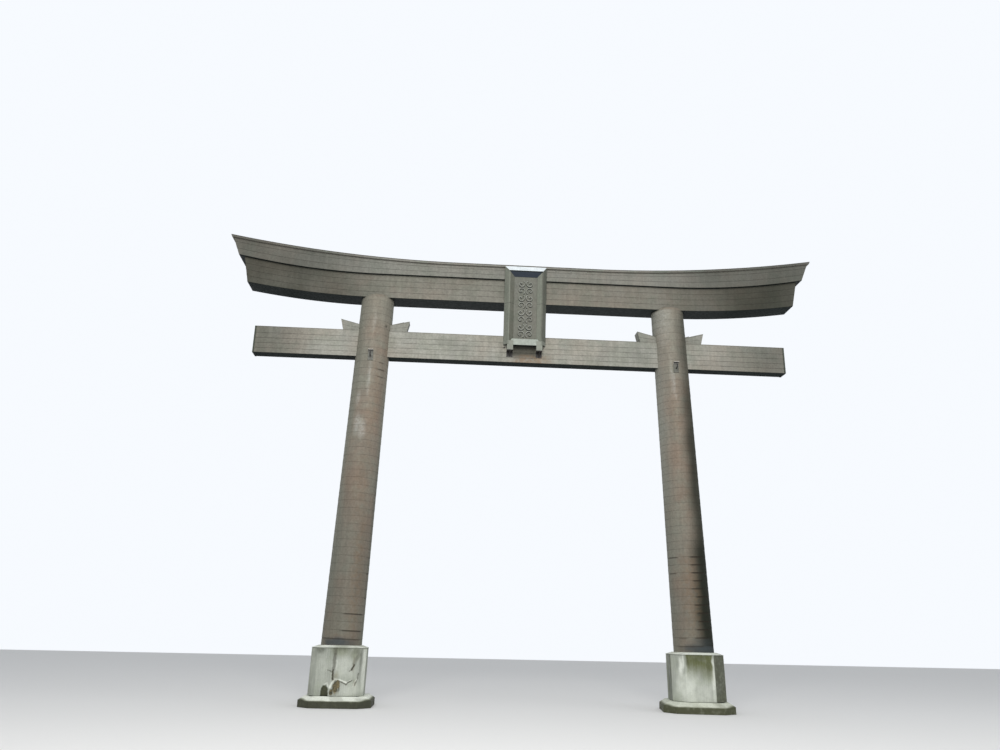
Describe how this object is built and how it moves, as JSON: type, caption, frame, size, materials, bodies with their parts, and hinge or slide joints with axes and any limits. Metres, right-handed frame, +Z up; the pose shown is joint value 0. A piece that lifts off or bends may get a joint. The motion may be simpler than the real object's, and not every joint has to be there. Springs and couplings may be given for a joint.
{
  "type": "torii gate",
  "caption": "Torii gate clad in copper sheet: leaning round pillars on stone-grey plinths, wedged tie beam, upswept lintels with a roof, and a framed plaque.",
  "frame": {"origin": "on the ground, midway between the two pillars", "axes": "+Z up, +X along the gate towards the right pillar as seen from the plaque side, -Y towards the front with the plaque"},
  "size_m": [13.2542, 1.4924, 9.8322],
  "materials": {
    "footing_concrete": "weathered concrete, green with moss at the sides",
    "plinth_plaster": "lime-washed plaster over concrete, stained and cracked",
    "pillar_copper": "old brown-grey copper sheet in lapped courses",
    "tie_beam_copper": "old pale brown-grey copper sheet in lapped courses",
    "lintel_copper": "old dark brown copper sheet with grey-green patches",
    "roof_copper": "old copper sheet, grey-green",
    "plaque_copper": "old copper sheet, dark green",
    "plaque_rim_copper": "old copper sheet, pale grey-green",
    "plaque_panel_copper": "old copper sheet, olive grey",
    "fitting_iron": "dark rusty iron"
  },
  "bodies": {
    "root": {"base_slab_left": "footing_concrete", "base_slab_right": "footing_concrete", "plinth_left": "plinth_plaster", "plinth_right": "plinth_plaster", "plinth_collar_left": "plinth_plaster", "plinth_collar_right": "plinth_plaster", "pillar_left": "pillar_copper", "pillar_right": "pillar_copper", "tie_beam": "tie_beam_copper", "tie_beam_cap_left": "tie_beam_copper", "tie_beam_cap_right": "tie_beam_copper", "wedge_left_outer": "tie_beam_copper", "wedge_left_inner": "tie_beam_copper", "wedge_right_outer": "tie_beam_copper", "wedge_right_inner": "tie_beam_copper", "lower_lintel": "lintel_copper", "upper_lintel": "lintel_copper", "roof": "roof_copper", "plaque_strut": "plaque_copper", "plaque_stile_left": "plaque_copper", "plaque_stile_right": "plaque_copper", "plaque_rim_left": "plaque_copper", "plaque_rim_right": "plaque_copper", "plaque_head": "plaque_copper", "plaque_rim_top": "plaque_rim_copper", "plaque_sill": "plaque_rim_copper", "plaque_panel": "plaque_panel_copper", "plaque_bracket_left": "fitting_iron", "plaque_bracket_right": "fitting_iron", "plaque_tie_left": "fitting_iron", "plaque_tie_right": "fitting_iron", "rope_hook_plate_left": "fitting_iron", "rope_hook_plate_right": "fitting_iron", "rope_hook_left": "fitting_iron", "rope_hook_right": "fitting_iron"}
  },
  "joints": []
}
